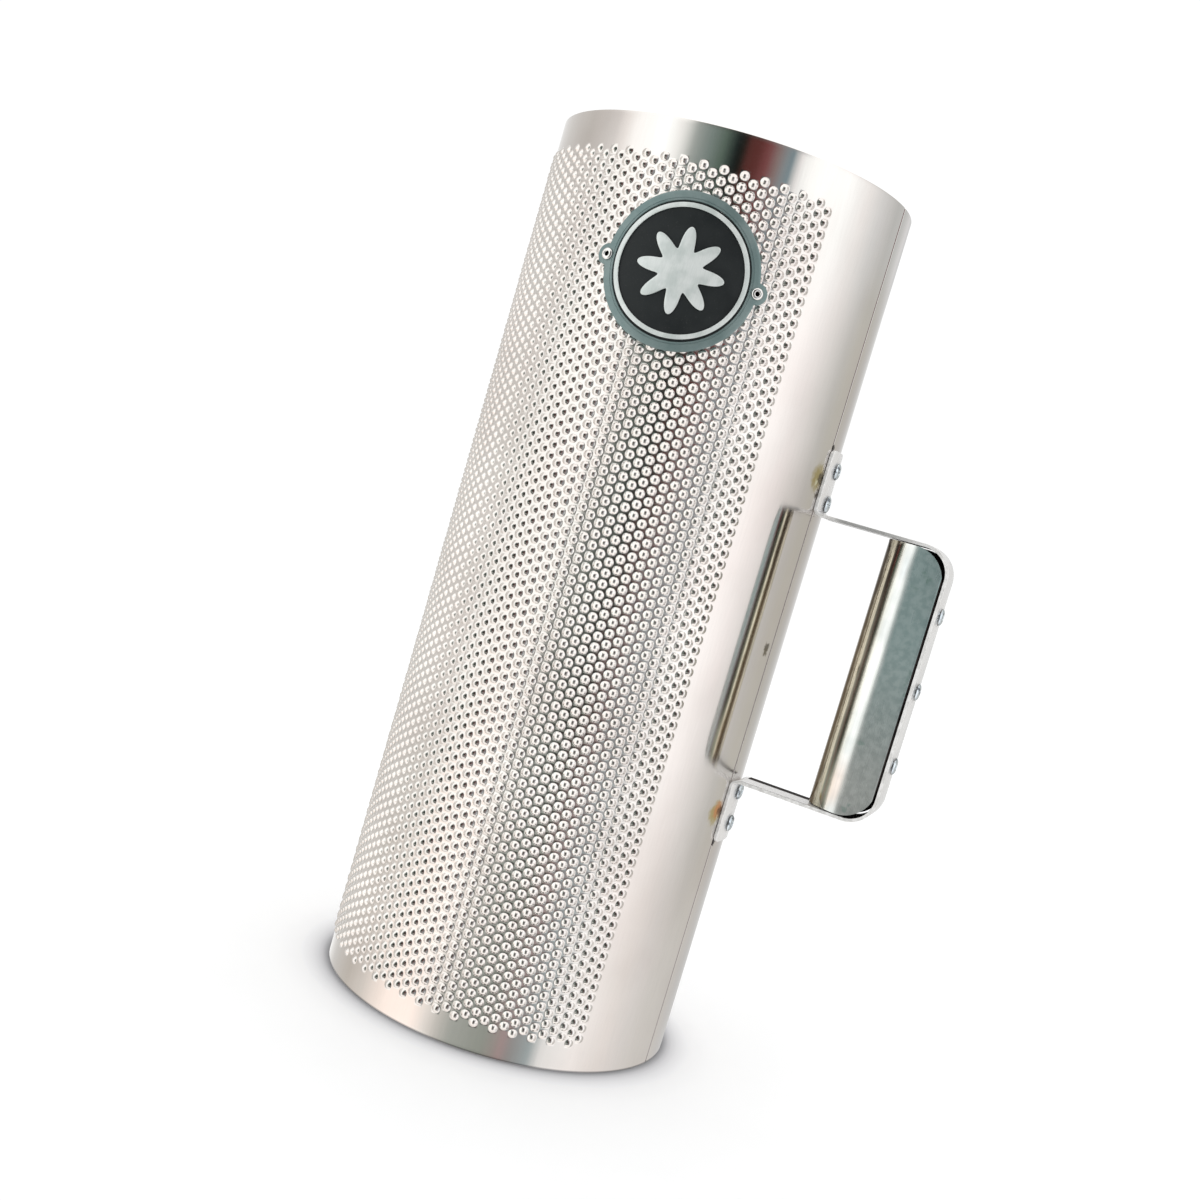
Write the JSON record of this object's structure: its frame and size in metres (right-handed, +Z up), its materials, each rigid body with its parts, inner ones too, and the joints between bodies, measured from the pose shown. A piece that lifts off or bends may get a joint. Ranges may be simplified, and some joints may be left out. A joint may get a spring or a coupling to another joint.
{
  "type": "metal guiro",
  "caption": "Upright open-ended metal guiro: a rolled sheet tube pressed with fine domes for scraping, with a riveted strap handle, a rolled grip and a round badge.",
  "frame": {"origin": "middle of the whole object's outline seen from above, at the height of the lower rim; the tube's own axis is at x = -25.55 mm, y = +1 mm", "axes": "+Z up along the tube, +X from the tube's axis towards the handle, the badge faces between -Y and +X"},
  "size_m": [0.1781, 0.129, 0.308],
  "materials": {
    "polished_steel": "bright polished stainless sheet, warm white reflections",
    "strap_steel": "polished flat bar with slightly broken edges",
    "grip_steel": "satin brushed sheet",
    "rivet_aluminium": "bright blind rivets",
    "mandrel_steel": "dull dark steel",
    "badge_metal": "satin plate",
    "black_enamel": "black enamel, semi-gloss",
    "pale_relief": "pale brushed relief"
  },
  "bodies": {
    "root": {"body_sheet": "polished_steel", "handle_strap": "strap_steel", "grip_shell": "grip_steel", "foot_rivet_1": "rivet_aluminium", "foot_rivet_2": "rivet_aluminium", "foot_rivet_3": "rivet_aluminium", "foot_rivet_4": "rivet_aluminium", "foot_rivet_mandrel_1": "mandrel_steel", "foot_rivet_mandrel_2": "mandrel_steel", "foot_rivet_mandrel_3": "mandrel_steel", "foot_rivet_mandrel_4": "mandrel_steel", "grip_rivet_1": "rivet_aluminium", "grip_rivet_2": "rivet_aluminium", "grip_rivet_3": "rivet_aluminium", "grip_rivet_mandrel_1": "mandrel_steel", "grip_rivet_mandrel_2": "mandrel_steel", "grip_rivet_mandrel_3": "mandrel_steel", "badge_plate": "badge_metal", "badge_enamel": "black_enamel", "badge_ring": "pale_relief", "badge_emblem": "pale_relief", "badge_eyelet_1": "rivet_aluminium", "badge_eyelet_2": "rivet_aluminium"}
  },
  "joints": []
}
